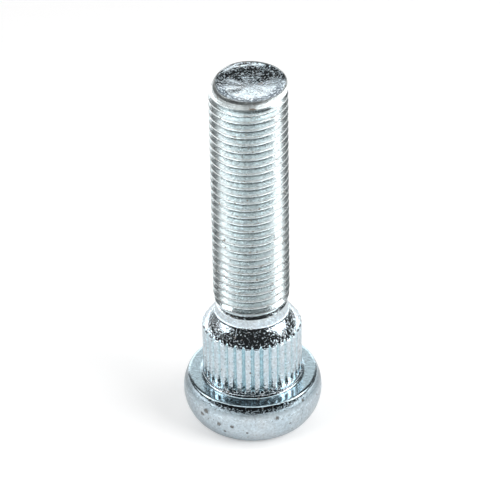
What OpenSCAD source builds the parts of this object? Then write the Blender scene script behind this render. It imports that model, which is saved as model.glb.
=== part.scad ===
// Press-in wheel stud, one piece of cold-headed, thread-rolled and zinc plated steel.
// It stands on the underside of its head, on the plane z = 0, with its axis along +Z
// and the dished tip of the thread at the top. Lengths are in millimetres.

/* [Head] */
// Height of the head, from its underside to the bearing face
head_h = 9; // [8:0.25:12]
// Diameter of the head at its widest
head_d = 25.4; // [25:0.1:28]
// Height at which the head is widest
bulge_z = 5.4; // [4:0.1:7]
// Diameter of the flat bearing face
face_d = 23; // [21:0.5:24]
// Radius of the corner between the bearing face and the side
face_corner_r = 0.5; // [0.3:0.1:0.6]
// Diameter of the flat underside
base_d = 18.2; // [14:0.2:19.4]
// Radius of the rounded lower edge
base_edge_r = 2.7; // [1.5:0.1:3.2]

/* [Knurl] */
// Diameter over the lands of the knurl
knurl_d = 18.1; // [16:0.1:19]
// Length of the knurl, from the bearing face to its top edge
knurl_len = 10.7; // [8:0.1:16]
// Number of grooves round the knurl
knurl_grooves = 34; // [24:1:40]
// Width of a groove at the surface of the lands
groove_w = 0.86; // [0.5:0.02:1]
// Depth of a groove
groove_depth = 0.5; // [0.3:0.05:0.6]
// Radius of the fillet between the knurl and the bearing face
base_fillet_r = 0.6; // [0.4:0.1:1]
// Height of the land that is left whole under the grooves
groove_foot = 0.3; // [0.2:0.1:1]
// Chamfer at the top edge of the lands
land_chamfer = 0.14; // [0.1:0.02:0.3]

/* [Shoulder and neck] */
// Height of the domed shoulder, from the knurl to the neck
shoulder_h = 3.2; // [2.6:0.1:5]
// Radius of the dome of the shoulder
shoulder_r = 8; // [7:0.5:20]
// Radius of the fillet between the shoulder and the neck
neck_fillet_r = 0.9; // [0.5:0.1:1]
// Diameter of the plain neck, which is the blank that the thread is rolled on
neck_d = 13.1; // [12.9:0.05:13.2]
// Length of the plain neck, from the shoulder to the start of the thread
neck_len = 1.6; // [1.5:0.1:6]

/* [Thread] */
// Diameter over the crests of the thread
thread_d = 13.85; // [13.7:0.01:14]
// Distance from one crest to the next
pitch = 1.5; // [1.25:0.25:1.5]
// Number of turns, from the neck to the tip
thread_turns = 29.5; // [12:0.5:34]
// Turns over which the lower end of the thread fades out
runout_turns = 2.5; // [1:0.5:4]
// Direction in which the thread starts, in degrees from +X
thread_start = 237; // [0:1:359]
// Sides of one turn
thread_sides = 30; // [16:2:36]

/* [Tip] */
// Height of the plain tip above the thread
tip_h = 2.25; // [2.2:0.05:4]
// Height over which the tip is bevelled, crests of the thread included
bevel_h = 3.8; // [2.4:0.1:5]
// Diameter of the tip at its rim
rim_d = 12.4; // [11.6:0.1:12.6]
// Radius of the rolled lip round the dish
lip_r = 0.2; // [0.15:0.05:0.4]
// Depth of the dish in the tip
dish_depth = 1.1; // [0.5:0.1:1.6]

/* [Hidden] */
steel = [0.77, 0.81, 0.83];

// Overlap of solids that are joined end to end
lap = 0.2;
// How far the thread lies under the neck and the tip that cover its ends
inset = 0.05;
// Steps of a curved stretch in the outline
arc_steps = 8;
// Sides of a round surface in the faceted view
round_sides = 96;
// Turns of the thread that lie inside the neck, under its visible start
buried_turns = 1.6;

// Radii
head_r = head_d / 2;
face_r = face_d / 2;
base_r = base_d / 2;
knurl_r = knurl_d / 2;
neck_r = neck_d / 2;
crest_r = thread_d / 2;
rim_r = rim_d / 2;

// Heights above the underside of the head
knurl_top = head_h + knurl_len;
neck_z = knurl_top + shoulder_h;
thread_z = neck_z + neck_len;
tip_z = thread_z + thread_turns * pitch;
stud_top = tip_z + tip_h;

// Thread form: 60 degree flanks, a crest of an eighth of the pitch, a rolled root
thread_depth = 0.6134 * pitch;
crest_w = pitch / 8;
root_r = crest_r - thread_depth;
flank_h = thread_depth * tan(30);

// Points of an arc round (cx, cz), from angle a to angle b
function arc(cx, cz, r, a, b, n = arc_steps) =
    [for (i = [0 : n]) let (t = a + (b - a) * i / n) [cx + r * cos(t), cz + r * sin(t)]];

// Radius of an arc that is upright at its outermost point and touches, from outside, a
// smaller circle of radius r that lies a inwards of that point and b above or below it
function hug_r(a, b, r) = (a * a + b * b - r * r) / (2 * (a - r));

// Side of the head: two arcs that meet upright where it is widest, one turning into the
// corner at the bearing face and one into the rounded lower edge
corner_z = head_h - face_corner_r;
upper_r = hug_r(head_r - face_r, corner_z - bulge_z, face_corner_r);
lower_r = hug_r(head_r - base_r, bulge_z - base_edge_r, base_edge_r);
upper_turn = atan2(corner_z - bulge_z, face_r - head_r + upper_r);
lower_turn = atan2(bulge_z - base_edge_r, base_r - head_r + lower_r);
head_side = concat(
    arc(base_r, base_edge_r, base_edge_r, -90, -lower_turn),
    arc(head_r - lower_r, bulge_z, lower_r, -lower_turn, 0),
    arc(head_r - upper_r, bulge_z, upper_r, 0, upper_turn),
    arc(face_r, corner_z, face_corner_r, upper_turn, 90, 4)
);

// Foot of the knurl: a hollow fillet from the bearing face to the lands
knurl_foot = arc(knurl_r + base_fillet_r, head_h + base_fillet_r, base_fillet_r, 270, 180, 5);

// Radius at which the shoulder starts, inside the chamfer of the lands
shoulder_start_r = knurl_r - 2 * land_chamfer;
// Lean of the shoulder where its fillet to the neck starts, in degrees
fillet_turn = 50;

// Outline of the head, knurl, shoulder and neck, from the axis outwards and up
module body_outline() {
    polygon(concat(
        [[0, 0]],
        head_side,
        knurl_foot,
        [[knurl_r, knurl_top - land_chamfer], [shoulder_start_r, knurl_top]],
        shoulder_dome(),
        [[neck_r, thread_z + lap], [0, thread_z + lap]]
    ));
}

// The dome is an arc from the lands to the fillet, and the fillet turns upright at the neck
function shoulder_dome() =
    let (
        x0 = shoulder_start_r,
        z0 = knurl_top,
        x1 = neck_r + neck_fillet_r * (1 - cos(fillet_turn)),
        z1 = neck_z - neck_fillet_r * sin(fillet_turn),
        chord = norm([x1 - x0, z1 - z0]),
        rise = sqrt(shoulder_r * shoulder_r - chord * chord / 4),
        cx = (x0 + x1) / 2 - rise * (z1 - z0) / chord,
        cz = (z0 + z1) / 2 - rise * (x0 - x1) / chord
    )
    concat(
        arc(cx, cz, shoulder_r, atan2(z0 - cz, x0 - cx), atan2(z1 - cz, x1 - cx)),
        arc(neck_r + neck_fillet_r, neck_z, neck_fillet_r, 180 + fillet_turn, 180, 4)
    );

// One sharp groove of the knurl, open upwards, before its foot is shaped
module groove() {
    outside = knurl_r + groove_depth;
    linear_extrude(height = shoulder_h + knurl_len)
        polygon([[knurl_r - groove_depth, 0], [outside, groove_w], [outside, -groove_w]]);
}

// Space that the grooves may take: it slopes out of the shaft at their foot
module groove_room() {
    foot_z = head_h + base_fillet_r + groove_foot;
    inside = knurl_r - 2 * groove_depth;
    outside = knurl_r + groove_depth;
    rotate_extrude($fn = round_sides)
        polygon([
            [inside, foot_z + knurl_r - inside],
            [outside, foot_z + knurl_r - outside],
            [outside, neck_z],
            [inside, neck_z]
        ]);
}

module knurl_cut() {
    intersection() {
        translate([0, 0, head_h])
            for (i = [0 : knurl_grooves - 1])
                rotate([0, 0, 360 * (i + 0.5) / knurl_grooves])
                    groove();
        groove_room();
    }
}

// How much of the thread is formed at height z: none at the neck, most of it within the first
// turn, and all of it above the run-out
function formed(z) =
    let (left = 1 - (z - thread_z) / (runout_turns * pitch))
    1 - pow(min(1, max(0, left)), 2);
// Radius of the bevelled tip at height z
function bevel_r(z) =
    crest_r - (crest_r - rim_r) * pow(max(0, z - stud_top + bevel_h) / bevel_h, 2);
// Radius of the thread at height z, where depth runs from 0 at the crest to 1 at the root
function thread_r(z, depth) =
    let (start_r = neck_r - inset, full_r = crest_r - thread_depth * depth)
    min(bevel_r(z) - inset, start_r + (full_r - start_r) * formed(z));

// One ridge of the thread, as [height above its lower root, depth]
ridge = [
    [0, 1],
    [flank_h, 0],
    [flank_h + crest_w, 0],
    [2 * flank_h + crest_w, 1]
];

// The thread is one closed solid: a ridge that winds round the axis, joined to its next turn
// by the root, and closed at each end by a fan of triangles from the axis. Both ends are
// buried, the lower one in the neck and the upper one in the tip.
module thread() {
    n = len(ridge);
    steps = round((thread_turns + buried_turns) * thread_sides);
    last = steps - thread_sides;
    start_z = thread_z - buried_turns * pitch;
    strip = [
        for (i = [0 : steps], p = ridge)
            let (
                a = thread_start + 360 * i / thread_sides,
                z = start_z + pitch * i / thread_sides + p[0],
                r = thread_r(z, p[1])
            )
            [r * cos(a), r * sin(a), z]
    ];
    low = len(strip);
    high = low + 1;
    ridges = [
        for (i = [0 : steps - 1], k = [0 : n - 2])
            each quad(i * n + k, (i + 1) * n + k, (i + 1) * n + k + 1, i * n + k + 1)
    ];
    roots = [
        for (i = [0 : last - 1])
            each quad(
                (i + 1) * n - 1, (i + 2) * n - 1,
                (i + 1 + thread_sides) * n, (i + thread_sides) * n
            )
    ];
    low_fan = [for (i = [0 : thread_sides - 1]) [low, (i + 1) * n, i * n]];
    high_fan = [for (i = [last : steps - 1]) [high, (i + 1) * n - 1, (i + 2) * n - 1]];
    low_step = [[low, for (k = [0 : n - 1]) k, thread_sides * n]];
    high_step = [[high, for (k = [n - 1 : -1 : 0]) steps * n + k, (last + 1) * n - 1]];
    polyhedron(
        points = concat(strip, [[0, 0, start_z], [0, 0, tip_z]]),
        faces = concat(ridges, roots, low_fan, high_fan, low_step, high_step),
        convexity = 10
    );
}

// Two triangles for the four corners of a patch
function quad(a, b, c, d) = [[a, c, b], [a, d, c]];

// Tip: the end of the last groove, the bevel, the rolled lip and the dish inside it
module tip() {
    flank_top = tip_z - lap + flank_h;
    lip_z = stud_top - lip_r;
    rotate_extrude($fn = round_sides)
        polygon(concat(
            [[0, tip_z - lap], [root_r - lap, tip_z - lap]],
            [for (i = [0 : arc_steps - 1])
                let (z = flank_top + (lip_z - flank_top) * i / arc_steps)
                [bevel_r(z), z]],
            arc(rim_r - lip_r, lip_z, lip_r, 0, 90, 4),
            dish(rim_r - 2 * lip_r)
        ));
}

// The dish is part of a sphere, from the inside of the lip to the axis
function dish(edge_r) =
    let (
        r = (edge_r * edge_r + dish_depth * dish_depth) / (2 * dish_depth),
        half = asin(edge_r / r)
    )
    [for (i = [0 : arc_steps])
        let (t = half * (1 - i / arc_steps))
        [r * sin(t), stud_top - dish_depth + r * (1 - cos(t))]];

module wheel_stud() {
    color(steel)
        union() {
            difference() {
                rotate_extrude($fn = round_sides) body_outline();
                knurl_cut();
            }
            thread();
            tip();
        }
}

wheel_stud();
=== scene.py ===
import math

import bpy
import numpy as np
from mathutils import Matrix, Vector


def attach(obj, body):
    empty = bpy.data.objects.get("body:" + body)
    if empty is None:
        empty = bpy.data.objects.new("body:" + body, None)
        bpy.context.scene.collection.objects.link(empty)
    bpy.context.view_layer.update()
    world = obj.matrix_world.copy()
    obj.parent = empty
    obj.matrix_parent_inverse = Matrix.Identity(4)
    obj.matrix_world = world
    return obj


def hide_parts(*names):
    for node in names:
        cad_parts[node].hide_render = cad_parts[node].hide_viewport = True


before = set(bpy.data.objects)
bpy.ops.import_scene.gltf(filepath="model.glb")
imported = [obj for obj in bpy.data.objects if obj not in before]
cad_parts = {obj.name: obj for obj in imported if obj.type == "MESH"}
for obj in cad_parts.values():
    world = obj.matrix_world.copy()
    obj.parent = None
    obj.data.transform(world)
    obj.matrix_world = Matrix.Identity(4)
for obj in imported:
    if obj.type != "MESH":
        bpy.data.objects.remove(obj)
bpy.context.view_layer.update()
mm = 0.001
print("frame loaded")


# Shared mesh tools. A grid of vertex numbers has one row for each height of the outline, from
# the underside up, and one column for each angle, so its faces all point outwards.

def arcPoints(cx, cz, radius, start, stop, count):
    # Points (cx + radius cos t, cz + radius sin t), with t even between start and stop degrees
    t = np.radians(np.linspace(start, stop, count))
    return np.column_stack([cx + radius * np.cos(t), cz + radius * np.sin(t)])


def hugRadius(out, up, radius):
    # Radius of an arc, upright at its outermost point, that holds a smaller circle inside it:
    # (out^2 + up^2 - radius^2) / (2 (out - radius))
    return (out * out + up * up - radius * radius) / (2 * (out - radius))


def smoothStep(low, high, value):
    # 3 t^2 - 2 t^3, with t the share of the way from low to high, held between 0 and 1
    t = np.clip((value - low) / (high - low), 0, 1)
    return t * t * (3 - 2 * t)


def wave(angle, terms):
    # Sum of size * sin(count * angle + start), a closed and fixed unevenness round the axis
    return sum(size * np.sin(count * angle + np.radians(start)) for count, size, start in terms)


def gridFaces(index):
    # Two triangles for each cell of a grid of vertex numbers; cells closed to a line are dropped
    a, b = index[:-1, :-1].ravel(), index[:-1, 1:].ravel()
    d, c = index[1:, :-1].ravel(), index[1:, 1:].ravel()
    tris = np.concatenate([np.column_stack([a, b, c]), np.column_stack([a, c, d])])
    whole = (tris[:, 0] != tris[:, 1]) & (tris[:, 1] != tris[:, 2]) & (tris[:, 2] != tris[:, 0])
    return tris[whole]


def ringFaces(index):
    # The same, with the last column joined to the first
    return gridFaces(np.hstack([index, index[:, :1]]))


def poleFaces(pole, ring, top):
    # A fan of triangles from one vertex to a ring
    after = np.roll(ring, -1)
    same = np.full(ring.shape, pole)
    return np.column_stack([ring, after, same] if top else [same, after, ring])


def areaNormals(points, tris):
    # Normal of each vertex: the sum of the cross products of its triangles, which weighs each
    # one by its area, so that broad faces stay flat beside narrow rounded edges
    a, b, c = points[tris[:, 0]], points[tris[:, 1]], points[tris[:, 2]]
    across = np.cross(b - a, c - a)
    total = np.stack([np.bincount(tris.ravel(), np.repeat(across[:, k], 3), len(points))
                      for k in range(3)], axis=1)
    return total / np.linalg.norm(total, axis=1)[:, None]


def bridgeFaces(low, high):
    # Three triangles for each step of the ring that has half as many vertices as the other
    if len(low) < len(high):
        a, b = low, np.roll(low, -1)
        d, m = high[0::2], high[1::2]
        c = np.roll(d, -1)
        parts = [(a, b, m), (a, m, d), (b, c, m)]
    else:
        a, m = low[0::2], low[1::2]
        b = np.roll(a, -1)
        d, c = high, np.roll(high, -1)
        parts = [(a, m, d), (m, c, d), (m, b, c)]
    return np.concatenate([np.column_stack(part) for part in parts])


# The stud. Lengths are in millimetres, angles in degrees.
stud = {
    "headHeight": 9.0,
    "headRadius": 12.7,
    "bulgeHeight": 5.4,       # where the head is widest
    "faceRadius": 11.35,      # flat bearing face
    "cornerRadius": 0.7,
    "baseRadius": 9.1,        # flat underside
    "baseEdgeRadius": 2.7,
    "knurlRadius": 9.05,
    "knurlTop": 19.7,
    "grooveCount": 34,
    "grooveWidth": 0.86,
    "grooveDepth": 0.5,
    "grooveFoot": 9.9,        # height at which a groove runs out of the lands
    "footRadius": 0.6,
    "landChamfer": 0.14,
    "shoulderRadius": 8.0,
    "neckHeight": 22.9,
    "neckRadius": 6.55,
    "neckFillet": 0.9,
    "crestRadius": 6.925,
    "pitch": 1.5,
    "threadDepth": 0.92,
    "firstCrest": 23.235,     # height of a crest on +X, before the thread is formed
    "rootStart": 24.5,        # the grooves start in the neck, and deepen over this height
    "rootRunOut": 1.2,
    "crestStart": 25.0,       # the crests rise from the neck a little higher up
    "crestRunOut": 2.4,
    "crestWear": 0.006,       # the crests are lower by up to twice this
    "neckRows": (23.3, 23.8, 24.3),
    "threadHeld": (24.4, 70.2),    # the thread's rows are held between these heights
    "threadEnd": (68.2, 70.1),     # its grooves fade out over this height
    "bevelStart": 67.2,
    "bevelRows": (70.3, 70.5),
    "top": 71.0,
    "rimRadius": 6.22,
    "lipRadius": 0.13,
    "dishOffset": 0.42,       # the dish sits off the axis, towards +X
    "lipTilt": 0.38,          # half the drop of the lip from the back to the front
    "frontRim": 0.34,         # how much wider the rim is at the front
    "lipDrop": 0.09,          # drop of the whole lip, and of the middle of the dish
    "dishDrop": 0.06,
    # waves round the axis: how many, size, start in degrees
    "lipUneven": [(2, 0.025, 40), (3, 0.025, 200), (5, 0.0175, 90), (8, 0.01, 10),
                  (13, 0.006, 75)],
    "rimUneven": [(2, 0.03, 10), (3, 0.03, 120), (7, 0.02, 60), (11, 0.012, 250)],
    "dishDepth": 1.05,
    "dishWall": 0.33,         # share of that depth that the steep wall takes
    "dishUneven": [(2, 0.05, 70), (3, 0.04, 300), (5, 0.03, 170), (9, 0.02, 30)],
    "headUneven": [(2, 0.010, 15), (3, 0.012, 140), (7, 0.004, 60)],
    "headInset": 0.024,
    "headRipple": 0.004,
}

# Columns of one groove of the knurl, in degrees from its middle; the rest of the stud uses
# every second one of them
grooveColumns = np.array([-3.0, -2.45, -1.3, -0.3, 0.3, 1.3, 2.45, 3.0, 4.5, 6.1])

# Rows of one turn of the thread: share of the pitch from the crest, and share of the depth
threadRows = np.array([
    (-0.38, 0.86), (-0.09, 0.078), (-0.066, 0.012), (-0.05, 0.0), (0.045, 0.0),
    (0.060, 0.003), (0.069, 0.018), (0.09, 0.078), (0.38, 0.86), (0.50, 0.90),
])


def bevelRadius(z):
    # Crest radius, less a share that grows with the square of the height over the bevel
    s = stud
    t = np.clip((z - s["bevelStart"]) / (s["top"] - s["bevelStart"]), 0, 1)
    return s["crestRadius"] - (s["crestRadius"] - s["rimRadius"]) * t * t


def headOutline():
    # Underside, rounded lower edge, two arcs that meet where the head is widest, corner, face
    s = stud
    cornerZ = s["headHeight"] - s["cornerRadius"]
    rise, fall = cornerZ - s["bulgeHeight"], s["bulgeHeight"] - s["baseEdgeRadius"]
    up = hugRadius(s["headRadius"] - s["faceRadius"], rise, s["cornerRadius"])
    low = hugRadius(s["headRadius"] - s["baseRadius"], fall, s["baseEdgeRadius"])
    upTurn = math.degrees(math.atan2(rise, s["faceRadius"] - s["headRadius"] + up))
    lowTurn = math.degrees(math.atan2(fall, s["baseRadius"] - s["headRadius"] + low))
    footStart = s["knurlRadius"] + s["footRadius"]
    return np.concatenate([
        [(2.5, 0), (5.0, 0), (7.5, 0)],
        arcPoints(s["baseRadius"], s["baseEdgeRadius"], s["baseEdgeRadius"],
                  -90, -lowTurn, 11)[:-1],
        arcPoints(s["headRadius"] - low, s["bulgeHeight"], low, -lowTurn, 0, 7)[:-1],
        arcPoints(s["headRadius"] - up, s["bulgeHeight"], up, 0, upTurn, 11)[:-1],
        arcPoints(s["faceRadius"], cornerZ, s["cornerRadius"], upTurn, 90, 9),
        [(11.2, s["headHeight"]), (10.8, s["headHeight"]), (10.2, s["headHeight"]),
         (footStart + 0.12, s["headHeight"])],
    ])


def shankOutline():
    # Foot fillet, lands, chamfer, domed shoulder and the fillet that turns upright at the neck
    s = stud
    foot = arcPoints(s["knurlRadius"] + s["footRadius"], s["headHeight"] + s["footRadius"],
                     s["footRadius"], 270, 180, 8)
    lands = np.array([9.75, 9.9, 10.0, 10.1, 10.2, 10.3, 10.4, 10.5, 10.75, 11.6, 13.2, 14.9,
                      16.5, 18.0, 19.0, 19.35])
    turn = 50
    x0, z0 = s["knurlRadius"] - 2 * s["landChamfer"], s["knurlTop"]
    x1 = s["neckRadius"] + s["neckFillet"] * (1 - math.cos(math.radians(turn)))
    z1 = s["neckHeight"] - s["neckFillet"] * math.sin(math.radians(turn))
    chord = math.hypot(x1 - x0, z1 - z0)
    rise = math.sqrt(s["shoulderRadius"] ** 2 - chord * chord / 4)
    cx = (x0 + x1) / 2 - rise * (z1 - z0) / chord
    cz = (z0 + z1) / 2 - rise * (x0 - x1) / chord
    domeStart = math.degrees(math.atan2(z0 - cz, x0 - cx))
    domeStop = math.degrees(math.atan2(z1 - cz, x1 - cx))
    return np.concatenate([
        foot,
        np.column_stack([np.full(lands.shape, s["knurlRadius"]), lands]),
        [(s["knurlRadius"] - 0.01, s["knurlTop"] - 0.17),
         (s["knurlRadius"] - 0.06, s["knurlTop"] - 0.10),
         (s["knurlRadius"] - 0.16, s["knurlTop"] - 0.04)],
        arcPoints(cx, cz, s["shoulderRadius"], domeStart, domeStop, 13)[:-1],
        arcPoints(s["neckRadius"] + s["neckFillet"], s["neckHeight"], s["neckFillet"],
                  180 + turn, 180, 6),
    ])


def knurlCut(radius, z, angle):
    # Lands cut by V grooves: the depth falls evenly from a groove's middle to its edges, and
    # each groove runs out on a slope of 45 degrees at its foot. Width, depth and foot differ
    # by a few percent from groove to groove, by sines of its number
    s = stud
    period = 360 / s["grooveCount"]
    number = np.floor(np.degrees(angle) / period - 1e-9)
    off = (np.degrees(angle) - period * (number + 0.5) + period / 2) % period - period / 2
    half = s["grooveWidth"] / 2 * (1 + 0.05 * np.sin(2.3 * number) + 0.04 * np.sin(5.1 * number))
    depth = s["grooveDepth"] * (1 + 0.06 * np.sin(3.7 * number))
    across = np.abs(np.radians(off)) * s["knurlRadius"]
    cut = s["knurlRadius"] - depth * np.clip(1 - across / half, 0, 1)
    slope = s["knurlRadius"] - (z - s["grooveFoot"] - 0.05 * np.sin(1.9 * number))
    cut = np.maximum(cut, slope)
    cut = np.where(across < half, cut, s["knurlRadius"] + 1)
    deep = np.clip((s["knurlRadius"] - cut) / s["grooveDepth"], 0, 1)
    return np.minimum(radius, cut), np.where(cut < radius, deep, 0)


def tipOutline():
    # Bevel, rolled lip, and a dish: depth (1 - w)(1 - q^2) + w(1 - q^8), q the share of its
    # radius and w the share of the depth that its steep wall takes
    s = stud
    z = np.array(s["bevelRows"])
    lipZ = s["top"] - s["lipRadius"]
    edge = s["rimRadius"] - 1.9 * s["lipRadius"]
    q = np.array([0.985, 0.96, 0.925, 0.88, 0.82, 0.75, 0.66, 0.56, 0.46, 0.36, 0.26, 0.16, 0.08])
    sunk = s["dishDepth"] * ((1 - s["dishWall"]) * (1 - q ** 2) + s["dishWall"] * (1 - q ** 8))
    return np.concatenate([
        np.column_stack([bevelRadius(z), z]),
        arcPoints(s["rimRadius"] - s["lipRadius"], lipZ, s["lipRadius"], 12, 165, 9),
        np.column_stack([edge * q, s["top"] - sunk]),
    ])


def tilted(radius, z, angle):
    # The tip leans: it drops towards -Y, its dish sits to one side, and its lip and rim wander
    # by a few hundredths. Gives x, y and z
    s = stud
    share = np.clip((z - s["bevelStart"]) / (s["top"] - s["bevelStart"]), 0, 1)
    atLip = s["lipTilt"] * (1 - np.sin(angle)) + s["lipDrop"] + wave(angle, s["lipUneven"])
    middle = s["lipTilt"] + s["dishDrop"]
    drop = middle + np.clip(radius / s["rimRadius"], 0, 1) * (atLip - middle)
    inner = smoothStep(0.2, 0.6, radius / 6) * smoothStep(1.0, 0.9, radius / 6)
    bumps = wave(angle, s["dishUneven"]) * inner * (z > s["bevelStart"])
    rim = wave(angle, s["rimUneven"])
    rim = np.minimum(rim, 0.05) + s["frontRim"] * ((1 - np.sin(angle)) / 2) ** 1.5
    rim = rim * share ** 2 * smoothStep(4.5, 5.6, radius)
    radius = radius + rim
    x = radius * np.cos(angle) + s["dishOffset"] * share ** 2
    return x, radius * np.sin(angle), z - np.maximum(drop, 0.002) * share + bumps


def makeStud():
    # One closed surface: outline rows carried round the axis, r and z changed by the angle.
    # The rows of the thread climb by one pitch a turn and are held at its two ends.
    s = stud
    period = 360 / s["grooveCount"]
    middles = period * (np.arange(s["grooveCount"])[:, None] + 0.5)
    fine = np.radians((middles + grooveColumns).ravel())
    coarse = fine[::2]
    points, tris, deep, dish, rim = [], [], [], [], []
    count = 0

    def addRows(x, y, z, depth=0, inDish=0, atRim=0):
        nonlocal count
        points.append(np.stack([x, y, z], axis=-1).reshape(-1, 3))
        deep.append(np.broadcast_to(depth, x.shape).ravel())
        dish.append(np.broadcast_to(inDish, x.shape).ravel())
        rim.append(np.broadcast_to(atRim, x.shape).ravel())
        index = count + np.arange(x.size).reshape(x.shape)
        count += x.size
        return index

    def turned(radius, z, angle):
        # x = radius cos angle, y = radius sin angle
        return radius * np.cos(angle), radius * np.sin(angle), z

    # Head, on every second column
    outline = headOutline()
    r = outline[:, :1] + 0 * coarse
    z = outline[:, 1:] + 0 * coarse
    side = smoothStep(0, 2, outline[:, 1:]) * smoothStep(9.2, 10.4, outline[:, :1])
    ripple = s["headRipple"] * np.sin(3 * z + 4 * coarse)
    r = r - side * (s["headInset"] + wave(coarse, s["headUneven"]) + ripple)
    pole = np.zeros((1, 1))
    bottom = addRows(pole, pole, pole)
    head = addRows(*turned(r, z, coarse))
    tris += [poleFaces(bottom[0, 0], head[0], False), ringFaces(head)]

    # Knurl and shoulder, on all columns
    outline = shankOutline()
    r, depth = knurlCut(outline[:, :1] + 0 * fine, outline[:, 1:], fine[None, :])
    overFoot = outline[:, 1:] > s["headHeight"] + s["footRadius"]
    depth = np.where(overFoot, depth, 0)
    r = np.where(overFoot, r, outline[:, :1])
    shank = addRows(*turned(r, outline[:, 1:] + 0 * fine, fine), depth)
    tris += [bridgeFaces(head[-1], shank[0]), ringFaces(shank)]

    # Neck below the thread
    z = np.array(s["neckRows"])[:, None] + 0 * coarse
    neck = addRows(*turned(s["neckRadius"] + 0 * z, z, coarse))
    tris += [bridgeFaces(shank[-1], neck[0]), ringFaces(neck)]

    # Thread
    lowZ, highZ = s["threadHeld"]
    turns = np.arange(math.ceil((highZ - s["firstCrest"]) / s["pitch"]) + 2)
    rise = (turns[:, None] + threadRows[:, 0]).ravel()
    share = np.tile(threadRows[:, 1], len(turns))[:, None]
    freeZ = s["firstCrest"] + s["pitch"] * (rise[:, None] + coarse / (2 * math.pi))
    z = np.clip(freeZ, lowZ, highZ)
    share = share * (1 - smoothStep(*s["threadEnd"], z))
    risen = 1 - np.clip(1 - (z - s["crestStart"]) / s["crestRunOut"], 0, 1) ** 2
    sunk = 1 - np.clip(1 - (z - s["rootStart"]) / s["rootRunOut"], 0, 1) ** 2
    crest = s["neckRadius"] + (s["crestRadius"] - s["neckRadius"]) * risen
    root = s["neckRadius"] + (s["crestRadius"] - s["threadDepth"] - s["neckRadius"]) * sunk
    r = np.minimum(crest + (root - crest) * share, bevelRadius(z))
    r = r - s["crestWear"] * (1 + np.sin(5 * coarse + 1.7 * z)) * (share < 0.1)
    rowCount, columnCount = z.shape
    index = addRows(*tilted(r, z, coarse + 0 * z), share * sunk)
    columns = np.arange(columnCount)
    lowest = np.argmax(freeZ > lowZ, axis=0) - 1
    highest = rowCount - np.argmax((freeZ < highZ)[::-1], axis=0)
    rows = np.clip(np.arange(rowCount)[:, None], lowest, highest)
    index = index[rows, columns]
    step = len(threadRows)
    nextTurn = np.concatenate([index[step:, 0], np.repeat(index[-1:, 0], step)])
    joined = np.hstack([index, nextTurn[:, None]])
    tris += [ringFaces(np.stack([neck[-1], index[0]])), gridFaces(joined)]

    # Tip, lip and dish
    outline = tipOutline()
    x, y, z = tilted(outline[:, :1] + 0 * coarse, outline[:, 1:] + 0 * coarse, coarse[None, :])
    inDish = smoothStep(6.06, 5.9, outline[:, :1]) + 0 * coarse
    # Front of the dish, where a dark reflection is painted into the colour
    atRim = smoothStep(3.9, 5.0, outline[:, :1]) * smoothStep(0.4, -0.5, np.sin(coarse)) * inDish
    tip = addRows(x, y, z, 0, inDish, atRim)
    centre = addRows(pole + x[-1].mean(), pole + y[-1].mean(), pole + z[-1].mean() - 0.005, 0, 1)
    tris += [ringFaces(np.stack([index[-1], tip[0]])), ringFaces(tip)]
    tris += [poleFaces(centre[0, 0], tip[-1], True)]

    points = np.concatenate(points) * mm
    tris = np.concatenate(tris)
    used, tris = np.unique(tris, return_inverse=True)
    tris = tris.reshape(-1, 3)
    mesh = bpy.data.meshes.new("studSurface")
    mesh.from_pydata(points[used], [], tris)
    # For the material: depth in a groove, inside of the dish, and the front of the dish, where a
    # dark reflection is painted
    for name, values in (("groove", deep), ("dish", dish), ("rim", rim)):
        layer = mesh.attributes.new(name, "FLOAT", "POINT")
        layer.data.foreach_set("value", np.concatenate(values)[used].astype(np.float32))
    mesh.polygons.foreach_set("use_smooth", np.ones(len(tris), dtype=bool))
    mesh.normals_split_custom_set_from_vertices(areaNormals(points[used], tris))
    mesh.update()
    surface = bpy.data.objects.new("studSurface", mesh)
    bpy.context.scene.collection.objects.link(surface)
    print("stud surface:", len(tris), "triangles")
    return surface


# Node tools

def addNode(tree, kind, inputs=None, **settings):
    node = tree.nodes.new(kind)
    for name, value in settings.items():
        setattr(node, name, value)
    for name, value in (inputs or {}).items():
        if isinstance(value, bpy.types.NodeSocket):
            tree.links.new(value, node.inputs[name])
        else:
            node.inputs[name].default_value = value
    return node


def mathNode(tree, operation, a, b=0.0, c=0.0, clamp=False):
    node = addNode(tree, "ShaderNodeMath", {0: a, 1: b, 2: c}, operation=operation, use_clamp=clamp)
    return node.outputs[0]


def ramp(tree, value, ends, levels, kind="LINEAR"):
    # The first level at the first of the ends, the second at the second, held beyond them
    node = addNode(tree, "ShaderNodeMapRange", {
        "Value": value, "From Min": ends[0], "From Max": ends[1],
        "To Min": levels[0], "To Max": levels[1]}, interpolation_type=kind)
    return node.outputs[0]


def softRamp(tree, value, ends, levels):
    # The same, eased at both ends
    return ramp(tree, value, ends, levels, "SMOOTHSTEP")


def mixColour(tree, factor, a, b):
    node = addNode(tree, "ShaderNodeMix", {0: factor, 6: a, 7: b}, data_type="RGBA")
    return node.outputs[2]


def newGroup(name, inputs, outputs):
    group = bpy.data.node_groups.new(name, "ShaderNodeTree")
    for label, kind, value in inputs:
        socket = group.interface.new_socket(label, in_out="INPUT", socket_type=kind)
        if value is not None:
            socket.default_value = value
    for label, kind in outputs:
        group.interface.new_socket(label, in_out="OUTPUT", socket_type=kind)
    return group, group.nodes.new("NodeGroupInput"), group.nodes.new("NodeGroupOutput")


def useGroup(tree, group, inputs):
    return addNode(tree, "ShaderNodeGroup", inputs, node_tree=group)


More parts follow.
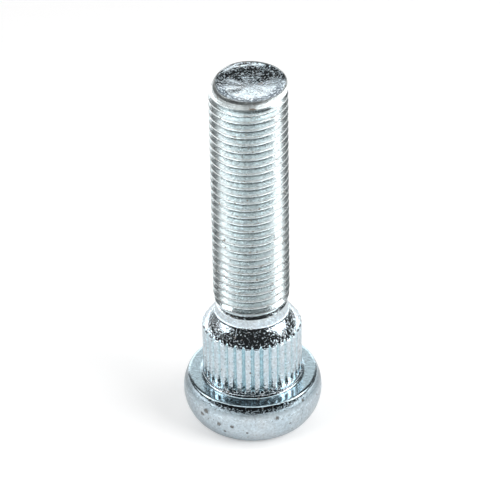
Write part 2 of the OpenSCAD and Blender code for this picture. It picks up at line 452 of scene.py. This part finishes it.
def makeGrainGroup():
    # Crystals of the plating: the peaks of a fine noise on flat ground, a finer noise, and a
    # few steep crystals that glint
    peakLevel, glintLevel = 0.54, 0.62
    group, given, out = newGroup(
        "platingGrain",
        [("Vector", "NodeSocketVector", None), ("Scale", "NodeSocketFloat", 3000.0),
         ("Fine", "NodeSocketFloat", 0.5), ("Steep", "NodeSocketFloat", 1.0)],
        [("Height", "NodeSocketFloat")])
    place, scale = given.outputs["Vector"], given.outputs["Scale"]
    broad = addNode(group, "ShaderNodeTexNoise", {
        "Vector": place, "Scale": scale, "Detail": 0.6, "Roughness": 0.5})
    small = addNode(group, "ShaderNodeTexNoise", {
        "Vector": place, "Scale": mathNode(group, "MULTIPLY", scale, 2.7),
        "Detail": 1.0, "Roughness": 0.5})
    part = mathNode(group, "MULTIPLY", small.outputs["Fac"], given.outputs["Fine"])
    peaks = mathNode(group, "SUBTRACT", broad.outputs["Fac"], peakLevel)
    height = mathNode(group, "ADD", mathNode(group, "MAXIMUM", peaks, 0.0), part)
    steep = addNode(group, "ShaderNodeTexNoise", {
        "Vector": place, "Scale": mathNode(group, "MULTIPLY", scale, 1.4), "Detail": 0.0})
    glint = mathNode(group, "SUBTRACT", steep.outputs["Fac"], glintLevel)
    glint = mathNode(group, "MAXIMUM", glint, 0.0)
    height = mathNode(group, "MULTIPLY_ADD", glint, given.outputs["Steep"], height)
    group.links.new(height, out.inputs["Height"])
    return group


def makeSpeckGroup():
    # Scattered specks: the peaks of one noise, kept only where a slower noise allows them
    group, given, out = newGroup(
        "platingSpecks",
        [("Vector", "NodeSocketVector", None), ("Scale", "NodeSocketFloat", 900.0),
         ("Level", "NodeSocketFloat", 0.70)],
        [("Mask", "NodeSocketFloat")])
    peaks = addNode(group, "ShaderNodeTexNoise", {
        "Vector": given.outputs["Vector"], "Scale": given.outputs["Scale"],
        "Detail": 2.0, "Roughness": 0.6})
    slower = mathNode(group, "MULTIPLY", given.outputs["Scale"], 0.19)
    areas = addNode(group, "ShaderNodeTexNoise", {
        "Vector": given.outputs["Vector"], "Scale": slower, "Detail": 1.0, "Roughness": 0.5})
    above = mathNode(group, "SUBTRACT", peaks.outputs["Fac"], given.outputs["Level"])
    sharp = mathNode(group, "MULTIPLY", above, 22.0, clamp=True)
    allowed = mathNode(group, "SUBTRACT", areas.outputs["Fac"], 0.45)
    allowed = mathNode(group, "MULTIPLY", allowed, 9.0, clamp=True)
    group.links.new(mathNode(group, "MULTIPLY", sharp, allowed), out.inputs["Mask"])
    return group


def makePitGroup():
    # One worn pit: full at its centre and gone at its radius, with a ragged edge
    group, given, out = newGroup(
        "wornPit",
        [("Vector", "NodeSocketVector", None), ("Centre", "NodeSocketVector", None),
         ("Radius", "NodeSocketFloat", 0.0005)],
        [("Mask", "NodeSocketFloat")])
    away = addNode(group, "ShaderNodeVectorMath",
                   {0: given.outputs["Vector"], 1: given.outputs["Centre"]}, operation="DISTANCE")
    ragged = addNode(group, "ShaderNodeTexNoise", {
        "Vector": given.outputs["Vector"], "Scale": 2600.0, "Detail": 3.0, "Roughness": 0.6})
    edge = mathNode(group, "MULTIPLY_ADD", ragged.outputs["Fac"], 1.6, 0.2)
    reach = mathNode(group, "MULTIPLY", given.outputs["Radius"], edge)
    ratio = mathNode(group, "DIVIDE", away.outputs["Value"], reach)
    mask = mathNode(group, "SUBTRACT", 1.35, ratio)
    group.links.new(mathNode(group, "MULTIPLY", mask, 1.6, clamp=True), out.inputs["Mask"])
    return group


zincPlate = {
    "colour": (0.585, 0.690, 0.755, 1),
    "paler": (0.645, 0.715, 0.760, 1),
    "threadColour": (0.710, 0.785, 0.795, 1),
    "threadShare": 0.8,
    "grooveColour": (0.500, 0.690, 0.755, 1),
    # Painted reflection: a paler, bluer tone on the bearing face
    "faceReflectionTint": (0.580, 0.740, 0.820, 1),
    # Painted dark reflection: the plating is painted darker in a band under the face's edge, all
    # round
    "cornerDarkReflection": (0.210, 0.270, 0.305, 1),   # the dark band under the face's edge
    "cornerReflectionShare": 0.8,
    # Painted dark reflection on the thread's crests
    "crestDarkReflection": (0.270, 0.280, 0.275, 1),
    "crestReflectionShare": 0.62,
    # Painted dark reflection at the front of the dish, broken up by speckle
    "rimDarkReflection": (0.090, 0.120, 0.150, 1),      # the front of the dish
    "speckColour": (0.20, 0.155, 0.115, 1),
    "speckShare": 0.8,
    "pitColour": (0.17, 0.14, 0.11, 1),
    "pitShare": 0.75,
    "roughness": 0.135,
    "dishRoughness": 0.13,
    "headRoughness": 0.105,
    "threadRoughness": 0.27,
    "lipRoughness": 0.30,
    "sideRougher": 0.22,      # added on the head's side, below its corner
    "faceRougher": 0.08,
    "dullRougher": 0.35,
    "dullMetal": -0.6,
    "grainDepth": 0.000110,
    "grainScale": 2700.0,
    "grainFine": 0.06,
    "grainSteep": 1.5,
    # Change of the grain's depth on each part of the stud, as a share of it
    "threadGrain": -0.78,
    "dishGrain": 0.70,
    "lipGrain": 0.39,
    "faceGrain": -0.88,
    "pitRelief": -3.0,
    "scratchRelief": -2.5,
    # Heights in metres over which each part of the stud starts or ends
    "threadFoot": (0.0235, 0.0265),
    "headTop": (0.0088, 0.0092),
    "cornerReflectionBand": (0.0066, 0.0078),
    "sideTop": (0.0050, 0.0070),
    "cornerFoot": (0.0074, 0.0080),
    "lipFoot": (0.0690, 0.0698),
    "faceHeight": 0.009,
    "faceFade": (0.0, 0.0003),
    "crestDepth": (0.02, 0.12),    # share of the groove's depth over which a crest ends
    # Turn round the axis, height, radius of the stud there, size, in degrees and millimetres
    "scratch": (-45.5, 4.6, 12.62, 0.10),
    "scratchStretch": 0.06,
    "pits": [(-132.8, 6.4, 12.64, 0.42), (-137, 5.3, 12.68, 0.32), (-119.8, 4.7, 12.67, 0.34),
             (-108, 4.8, 12.67, 0.28), (-70.2, 6.5, 12.62, 0.34), (-114.8, 3.2, 12.35, 0.22),
             (-95.5, 3.6, 12.46, 0.18), (-42.8, 7.8, 12.3, 0.22), (-58, 4.4, 12.65, 0.16)],
}


def onStud(turn, height, radius):
    # (radius cos turn, radius sin turn, height), from degrees and millimetres to metres
    t = math.radians(turn)
    return Vector((radius * math.cos(t), radius * math.sin(t), height)) * mm


def makeZincPlate():
    z = zincPlate
    material = bpy.data.materials.new("zincPlate")
    material.use_nodes = True
    tree = material.node_tree
    shader = tree.nodes["Principled BSDF"]
    place = addNode(tree, "ShaderNodeTexCoord").outputs["Object"]
    height = addNode(tree, "ShaderNodeSeparateXYZ", {0: place}).outputs["Z"]
    dish = addNode(tree, "ShaderNodeAttribute", attribute_name="dish").outputs["Fac"]
    groove = addNode(tree, "ShaderNodeAttribute", attribute_name="groove").outputs["Fac"]
    rim = addNode(tree, "ShaderNodeAttribute", attribute_name="rim").outputs["Fac"]

    def times(a, b):
        return mathNode(tree, "MULTIPLY", a, b)

    def addTimes(rest, value, factor, clamp=False):
        # rest + value * factor
        return mathNode(tree, "MULTIPLY_ADD", value, factor, rest, clamp=clamp)

    def speckle(scale, detail):
        return addNode(tree, "ShaderNodeTexNoise", {
            "Vector": place, "Scale": scale, "Detail": detail, "Roughness": 0.6}).outputs["Fac"]

    # Masks of the parts of the stud, by height and by the surface's own attributes
    bare = mathNode(tree, "SUBTRACT", 1.0, dish)
    onThread = ramp(tree, height, z["threadFoot"], (0.0, 1.0))
    threaded = times(onThread, bare)
    # Crests of the thread: they take the painted dark reflection, and more specks
    crest = times(ramp(tree, groove, z["crestDepth"], (1.0, 0.0)), threaded)
    inKnurl = mathNode(tree, "SUBTRACT", groove, onThread, clamp=True)
    lip = times(ramp(tree, height, z["lipFoot"], (0.0, 1.0)), bare)
    onHead = ramp(tree, height, z["headTop"], (1.0, 0.0))
    fromFace = mathNode(tree, "ABSOLUTE", mathNode(tree, "SUBTRACT", height, z["faceHeight"]))
    onFace = ramp(tree, fromFace, z["faceFade"], (1.0, 0.0))
    offFace = mathNode(tree, "SUBTRACT", 1.0, onFace)
    # Band under the face's edge that takes the painted dark reflection
    corner = times(ramp(tree, height, z["cornerReflectionBand"], (0.0, z["cornerReflectionShare"])), onHead)
    corner = times(corner, offFace)

    # Pits and the scratch
    pitGroup = makePitGroup()
    worn = None
    for turn, level, radius, size in z["pits"]:
        pit = useGroup(tree, pitGroup, {
            "Vector": place, "Centre": onStud(turn, level, radius), "Radius": size * mm})
        mask = pit.outputs["Mask"]
        worn = mask if worn is None else mathNode(tree, "MAXIMUM", worn, mask)
    turn, level, radius, size = z["scratch"]
    stretch = z["scratchStretch"]
    stretched = addNode(tree, "ShaderNodeVectorMath", {0: place, 1: (1.0, 1.0, stretch)},
                        operation="MULTIPLY")
    scratch = useGroup(tree, pitGroup, {
        "Vector": stretched.outputs[0], "Centre": onStud(turn, level * stretch, radius),
        "Radius": size * mm}).outputs["Mask"]

    # Colour: slow change from the blue passivation to paler metal, the tones of the parts,
    # painted reflections on the face, in a band under its edge, on the crests and at the front
    # of the dish, then specks, pits and dust
    slow = speckle(260.0, 3.0)
    pale = addTimes(-1.1, slow, 3.0, clamp=True)
    colour = mixColour(tree, pale, z["colour"], z["paler"])
    colour = mixColour(tree, times(threaded, z["threadShare"]), colour, z["threadColour"])
    colour = mixColour(tree, inKnurl, colour, z["grooveColour"])
    # Painted reflection: a paler, bluer tone on the bearing face
    colour = mixColour(tree, onFace, colour, z["faceReflectionTint"])
    # Painted dark reflection in a band under the face's edge
    colour = mixColour(tree, corner, colour, z["cornerDarkReflection"])
    # Painted dark reflection at the front of the dish, broken up by speckle
    rimSpeckle = addTimes(-3.9, speckle(2500.0, 1.5), 10.0, clamp=True)
    colour = mixColour(tree, times(rim, rimSpeckle), colour, z["rimDarkReflection"])
    # Painted dark reflection on the thread's crests
    colour = mixColour(tree, times(crest, z["crestReflectionShare"]), colour, z["crestDarkReflection"])
    level = addTimes(0.66, crest, -0.05)
    specks = useGroup(tree, makeSpeckGroup(), {"Vector": place, "Scale": 1500.0, "Level": level})
    speckShare = times(specks.outputs["Mask"], z["speckShare"])
    colour = mixColour(tree, speckShare, colour, z["speckColour"])
    wornShare = times(worn, z["pitShare"])
    colour = mixColour(tree, wornShare, colour, z["pitColour"])
    dust = addTimes(0.55, speckle(2100.0, 2.0), 0.9)
    dusted = addNode(tree, "ShaderNodeVectorMath", {0: colour}, operation="SCALE")
    tree.links.new(dust, dusted.inputs["Scale"])
    tree.links.new(dusted.outputs[0], shader.inputs["Base Color"])

    # Gloss: each part has its own, and specks and pits are dull
    dull = mathNode(tree, "MAXIMUM", speckShare, wornShare)
    rough = addTimes(z["roughness"] - 0.04, slow, 0.08)
    rough = addTimes(rough, dish, z["dishRoughness"] - z["roughness"])
    rough = addTimes(rough, lip, z["lipRoughness"] - z["threadRoughness"])
    rough = addTimes(rough, threaded, z["threadRoughness"] - z["roughness"])
    rough = addTimes(rough, onHead, z["headRoughness"] - z["roughness"])
    side = ramp(tree, height, z["sideTop"], (0.0, z["sideRougher"]))
    rough = addTimes(rough, side, ramp(tree, height, z["cornerFoot"], (1.0, 0.0)))
    rough = addTimes(rough, onFace, z["faceRougher"])
    rough = addTimes(rough, dull, z["dullRougher"], clamp=True)
    tree.links.new(rough, shader.inputs["Roughness"])
    tree.links.new(addTimes(1.0, dull, z["dullMetal"]), shader.inputs["Metallic"])

    # Relief: plating crystals, deeper in the dish and on the lip, and the pits
    grain = useGroup(tree, makeGrainGroup(), {
        "Vector": place, "Scale": z["grainScale"], "Fine": z["grainFine"],
        "Steep": z["grainSteep"]})
    deeper = addTimes(1.0, onThread, z["threadGrain"])
    deeper = addTimes(deeper, dish, z["dishGrain"])
    deeper = addTimes(deeper, lip, z["lipGrain"])
    deeper = times(deeper, addTimes(1.0, onFace, z["faceGrain"]))
    relief = times(grain.outputs["Height"], deeper)
    relief = addTimes(relief, worn, z["pitRelief"])
    relief = addTimes(relief, scratch, z["scratchRelief"])
    bump = addNode(tree, "ShaderNodeBump",
                   {"Height": relief, "Strength": 1.0, "Distance": z["grainDepth"]})
    tree.links.new(bump.outputs["Normal"], shader.inputs["Normal"])
    return material


surface = makeStud()
surface.data.materials.append(makeZincPlate())
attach(surface, "root")
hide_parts("wheel_stud")
print("stud placed")


# Studio: a white board, darker in front; dark above, with white low behind, a grey wall round
# that and an arch of light from side to side; a softbox on each side, and a lamp on each side
# for the board alone. Lengths are in metres, and angles in degrees.
studio = {
    "boardColour": (0.80, 0.80, 0.80, 1),
    "boardHalf": 1,
    "boardFront": -0.90,
    "boardBack": 0.25,
    "boardGlow": 0.12,
    "cameraGlow": 0.34,
    "sideGlow": 1.9,          # added where the softboxes light the board, left and right
    "sideFrom": (0.04, 0.085),
    "sideTo": (0.26, 0.70),
    "frontGlow": 0.46,        # and in front, further out than the knurl reflects
    "frontFrom": (-0.070, -0.035),
    "frontFade": (-0.38, -0.105),
    "frontLeft": 0.10,        # share of the glow that is left beyond that
    # The board's glow for reflections is darkened near the stud: a painted contact shadow
    "contactReach": 0.008,    # the board darkens this near to the stud
    "contactPower": 0.5,
    "skyBright": 2.1,
    "skyDark": 0.03,
    "backTop": (-3, 35.5),    # how high the white reaches, at the sides and straight behind
    "backFoot": (-2, 6),      # and where it starts
    "backSpread": (0.72, 0.99),
    "backSides": (-0.5, 0.1),
    "backBlur": 6,
    "backTurn": 4,            # towards the left
    "wallBright": 0.17,       # a grey wall behind, wider than the white
    "wallTop": (28, 40),
    "wallSpread": (0.25, 0.70),
    "archTop": 2.0,
    "archSide": 1.9,
    "archSpread": (0.10, 0.45),
    "archFeet": (0.45, 0.65),
    "archLean": 0.45,         # the arch leans back towards its feet
    "archFront": 0.06,        # and stands in front of the zenith at its top
    "archWidth": (0.11, 0.24),
    "lampAim": (0, 0, 0.045),
    "lamps": [
        {"at": (0.31, -0.005, 0.26), "size": (0.20, 0.15), "radiance": 5.0, "mirrored": True},
        {"at": (-0.31, 0.000, 0.26), "size": (0.15, 0.11), "radiance": 4.5, "mirrored": True},
        {"at": (0.33, -0.20, 0.28), "size": (0.20, 0.20), "radiance": 8.0, "mirrored": False},
        {"at": (-0.33, -0.20, 0.28), "size": (0.20, 0.20), "radiance": 5.0, "mirrored": False},
    ],
}


def makeFloor():
    # A flat board whose glow, for reflections, is boardGlow + sides * ends + pool, times front
    s = studio
    mesh = bpy.data.meshes.new("floor")
    half, near, far = s["boardHalf"], s["boardFront"], s["boardBack"]
    corners = [(-half, near, 0), (half, near, 0), (half, far, 0), (-half, far, 0)]
    mesh.from_pydata(corners, [], [(0, 1, 2, 3)])
    floor = bpy.data.objects.new("floor", mesh)
    bpy.context.scene.collection.objects.link(floor)
    material = bpy.data.materials.new("boardWhite")
    material.use_nodes = True
    tree = material.node_tree
    tree.nodes.clear()
    place = addNode(tree, "ShaderNodeTexCoord").outputs["Object"]
    axes = addNode(tree, "ShaderNodeSeparateXYZ", {0: place})
    across = mathNode(tree, "ABSOLUTE", axes.outputs["X"])
    along = axes.outputs["Y"]
    sides = softRamp(tree, across, s["sideFrom"], (0.0, s["sideGlow"]))
    ends = softRamp(tree, across, s["sideTo"], (1.0, 0.0))
    pool = softRamp(tree, along, s["frontFrom"], (s["frontGlow"], 0.0))
    front = softRamp(tree, along, s["frontFade"], (s["frontLeft"], 1.0))
    glow = mathNode(tree, "MULTIPLY_ADD", sides, ends, s["boardGlow"])
    glow = mathNode(tree, "ADD", glow, pool)
    mirrored = mathNode(tree, "MULTIPLY", glow, front)
    path = addNode(tree, "ShaderNodeLightPath")
    glossy, passed = path.outputs["Is Glossy Ray"], path.outputs["Is Transmission Ray"]
    toMetal = mathNode(tree, "MULTIPLY", mirrored, mathNode(tree, "MAXIMUM", glossy, passed))
    # Painted contact shadow in the glow that the metal reflects
    contact = addNode(tree, "ShaderNodeAmbientOcclusion", {"Distance": s["contactReach"]},
                      samples=8)
    contact = mathNode(tree, "POWER", contact.outputs["AO"], s["contactPower"])
    toMetal = mathNode(tree, "MULTIPLY", toMetal, contact)
    toCamera = mathNode(tree, "MULTIPLY", path.outputs["Is Camera Ray"], s["cameraGlow"])
    strength = mathNode(tree, "ADD", toMetal, toCamera)
    matt = addNode(tree, "ShaderNodeBsdfDiffuse", {"Color": s["boardColour"]})
    lit = addNode(tree, "ShaderNodeEmission", {"Strength": strength})
    both = addNode(tree, "ShaderNodeAddShader", {0: matt.outputs[0], 1: lit.outputs[0]})
    addNode(tree, "ShaderNodeOutputMaterial", {"Surface": both.outputs[0]})
    mesh.materials.append(material)


def inRadians(pair):
    return [math.radians(value) for value in pair]


def makeWorld():
    # Brightness by direction: white up to an elevation that is highest straight behind the
    # stud and low at the sides, grey round that, an arch of light, and dark elsewhere
    s = studio
    world = bpy.data.worlds.new("studioWorld")
    bpy.context.scene.world = world
    world.use_nodes = True
    tree = world.node_tree
    tree.nodes.clear()
    way = addNode(tree, "ShaderNodeTexCoord").outputs["Generated"]
    axes = addNode(tree, "ShaderNodeSeparateXYZ", {0: way})
    rise = mathNode(tree, "ARCSINE", axes.outputs["Z"])
    turn = mathNode(tree, "ARCTAN2", axes.outputs["X"], axes.outputs["Y"])
    turn = mathNode(tree, "ADD", turn, math.radians(s["backTurn"]))
    behind = mathNode(tree, "COSINE", turn)

    # The white behind
    edge = softRamp(tree, behind, s["backSpread"], inRadians(s["backTop"]))
    above = mathNode(tree, "SUBTRACT", rise, edge)
    blur = math.radians(s["backBlur"])
    bright = softRamp(tree, above, (-blur, blur), (1.0, 0.0))
    sides = softRamp(tree, behind, s["backSides"], (0.0, 1.0))
    bright = mathNode(tree, "MULTIPLY", bright, sides)
    foot = softRamp(tree, rise, inRadians(s["backFoot"]), (0.0, 1.0))
    bright = mathNode(tree, "MULTIPLY", bright, foot)
    span = s["skyBright"] - s["skyDark"]
    strength = mathNode(tree, "MULTIPLY_ADD", bright, span, s["skyDark"])

    # The grey wall
    wall = softRamp(tree, behind, s["wallSpread"], (0.0, s["wallBright"]))
    wallFade = softRamp(tree, rise, inRadians(s["wallTop"]), (1.0, 0.0))
    wall = mathNode(tree, "MULTIPLY", wall, wallFade)
    strength = mathNode(tree, "MAXIMUM", strength, wall)

    # The arch
    across = mathNode(tree, "ABSOLUTE", axes.outputs["X"])
    off = mathNode(tree, "MULTIPLY_ADD", across, -s["archLean"], axes.outputs["Y"])
    off = mathNode(tree, "ABSOLUTE", mathNode(tree, "ADD", off, s["archFront"]))
    arch = softRamp(tree, off, s["archWidth"], (1.0, 0.0))
    raised = softRamp(tree, axes.outputs["Z"], s["archFeet"], (0.0, 1.0))
    level = softRamp(tree, across, s["archSpread"], (s["archTop"], s["archSide"]))
    arch = mathNode(tree, "MULTIPLY", mathNode(tree, "MULTIPLY", arch, raised), level)
    strength = mathNode(tree, "MAXIMUM", strength, arch)

    path = addNode(tree, "ShaderNodeLightPath")
    strength = mathNode(tree, "MAXIMUM", strength, path.outputs["Is Camera Ray"])
    light = addNode(tree, "ShaderNodeBackground", {"Strength": strength})
    addNode(tree, "ShaderNodeOutputWorld", {"Surface": light.outputs[0]})


def makeLamps():
    aim = Vector(studio["lampAim"])
    for number, box in enumerate(studio["lamps"]):
        lamp = bpy.data.lights.new(f"lamp{number + 1}", "AREA")
        lamp.shape = "RECTANGLE"
        lamp.size, lamp.size_y = box["size"]
        lamp.energy = box["radiance"] * math.pi * box["size"][0] * box["size"][1]
        holder = bpy.data.objects.new(lamp.name, lamp)
        holder.location = box["at"]
        holder.rotation_euler = (aim - Vector(box["at"])).to_track_quat("-Z", "Y").to_euler()
        holder.visible_glossy = box["mirrored"]
        bpy.context.scene.collection.objects.link(holder)


# Camera, from the fit to the photo's outline
view = {
    "elevation": 34.336,
    "roll": -0.929,
    "distance": 0.550,
    "target": (-0.000128, 0, 0.035288),
    "lens": 221.57,
}


def makeCamera():
    e, turn = math.radians(view["elevation"]), math.radians(view["roll"])
    back = Vector((0, -math.cos(e), math.sin(e)))
    right = Vector((1, 0, 0))
    up = back.cross(right)
    side = math.cos(turn) * right + math.sin(turn) * up
    top = -math.sin(turn) * right + math.cos(turn) * up
    data = bpy.data.cameras.new("camera")
    data.lens = view["lens"]
    data.sensor_width = 36
    data.clip_start = 0.01
    data.clip_end = 20
    camera = bpy.data.objects.new("camera", data)
    camera.matrix_world = Matrix((side, top, back)).transposed().to_4x4()
    camera.location = Vector(view["target"]) + back * view["distance"]
    bpy.context.scene.collection.objects.link(camera)
    bpy.context.scene.camera = camera


makeFloor()
makeWorld()
makeLamps()
makeCamera()
bpy.context.scene.view_settings.view_transform = "Standard"
print("studio and camera set")
